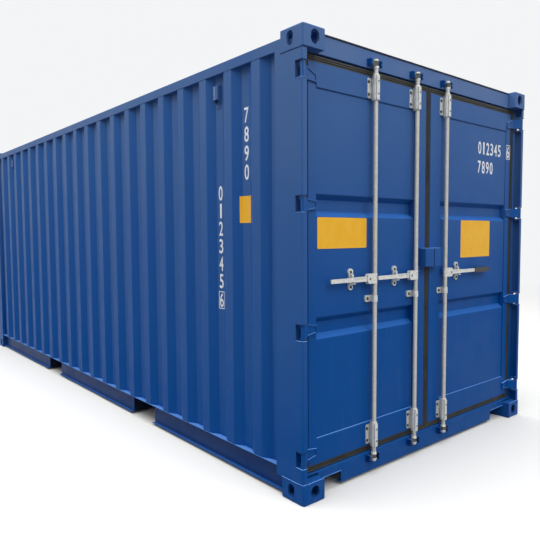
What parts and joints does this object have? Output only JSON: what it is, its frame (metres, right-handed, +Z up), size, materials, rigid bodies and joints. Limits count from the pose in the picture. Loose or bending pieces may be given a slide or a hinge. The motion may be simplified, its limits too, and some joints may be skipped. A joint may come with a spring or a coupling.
{
  "type": "shipping container",
  "caption": "Corrugated steel dry cargo container with hinged double doors, turning lock rods and lifting handles, fork pockets and slotted corner castings.",
  "frame": {"origin": "on the ground under the middle of the container", "axes": "+X along the length towards the pictured door end, +Y across the width away from the pictured long side, +Z up"},
  "size_m": [6.058, 2.438, 2.591],
  "materials": {
    "blue_paint": "semi-gloss blue container paint on steel",
    "dark_blue_paint": "blue container paint in shade, on rolled steel sections",
    "galvanised_steel": "hot dip galvanised forgings and tube",
    "seal_rubber": "dark grey extruded door seal",
    "plywood": "varnished hardwood plywood"
  },
  "bodies": {
    "container": {"bottom_corner_castings": "blue_paint", "top_corner_castings": "blue_paint", "front_corner_posts": "blue_paint", "rear_corner_posts": "blue_paint", "top_side_rails": "blue_paint", "bottom_side_rails": "dark_blue_paint", "left_side_wall": "blue_paint", "right_side_wall": "blue_paint", "side_vents": "dark_blue_paint", "roof": "blue_paint", "rear_end_wall": "blue_paint", "rear_top_rail": "blue_paint", "rear_bottom_rail": "dark_blue_paint", "floor": "plywood", "floor_cross_members": "dark_blue_paint", "fork_pockets": "dark_blue_paint", "door_header": "blue_paint", "door_sill": "blue_paint", "hinge_pins": "galvanised_steel", "cam_keepers": "blue_paint"},
    "left_door": {"left_door_frame": "blue_paint", "left_door_panel": "blue_paint", "left_door_gasket": "seal_rubber", "left_door_hinges": "blue_paint", "left_lock_brackets": "galvanised_steel", "left_lock_cover": "blue_paint"},
    "right_door": {"right_door_frame": "blue_paint", "right_door_panel": "blue_paint", "right_door_gasket": "seal_rubber", "right_door_hinges": "blue_paint", "right_lock_brackets": "galvanised_steel", "right_lock_cover": "blue_paint"},
    "rod_1": {"lock_rod_1": "galvanised_steel"},
    "rod_2": {"lock_rod_2": "galvanised_steel"},
    "rod_3": {"lock_rod_3": "galvanised_steel"},
    "handle_1": {"lock_handle_1": "galvanised_steel"},
    "handle_2": {"lock_handle_2": "galvanised_steel"},
    "handle_3": {"lock_handle_3": "galvanised_steel", "handle_grip": "seal_rubber"}
  },
  "joints": [
    {"name": "left_door_hinge", "type": "hinge", "parent": "container", "child": "left_door", "pos_m": [3.007, -1.198, 1.303], "axis": [0, 0, -1], "range_deg": [0, 260]},
    {"name": "right_door_hinge", "type": "hinge", "parent": "container", "child": "right_door", "pos_m": [3.007, 1.198, 1.303], "axis": [0, 0, 1], "range_deg": [0, 260]},
    {"name": "lock_rod_1_turn", "type": "hinge", "parent": "left_door", "child": "rod_1", "pos_m": [2.995, -0.588, 1.221], "axis": [0, 0, -1], "range_deg": [-110, 0]},
    {"name": "lock_rod_2_turn", "type": "hinge", "parent": "left_door", "child": "rod_2", "pos_m": [2.995, -0.172, 1.221], "axis": [0, 0, -1], "range_deg": [-110, 0]},
    {"name": "lock_rod_3_turn", "type": "hinge", "parent": "right_door", "child": "rod_3", "pos_m": [2.995, 0.172, 1.221], "axis": [0, 0, 1], "range_deg": [-110, 0]},
    {"name": "handle_1_lift", "type": "hinge", "parent": "rod_1", "child": "handle_1", "pos_m": [2.995, -0.646, 1.221], "axis": [1, 0, 0], "range_deg": [-30, 0]},
    {"name": "handle_2_lift", "type": "hinge", "parent": "rod_2", "child": "handle_2", "pos_m": [2.995, -0.23, 1.221], "axis": [1, 0, 0], "range_deg": [-30, 0]},
    {"name": "handle_3_lift", "type": "hinge", "parent": "rod_3", "child": "handle_3", "pos_m": [2.995, 0.23, 1.221], "axis": [-1, 0, 0], "range_deg": [-30, 0]}
  ]
}
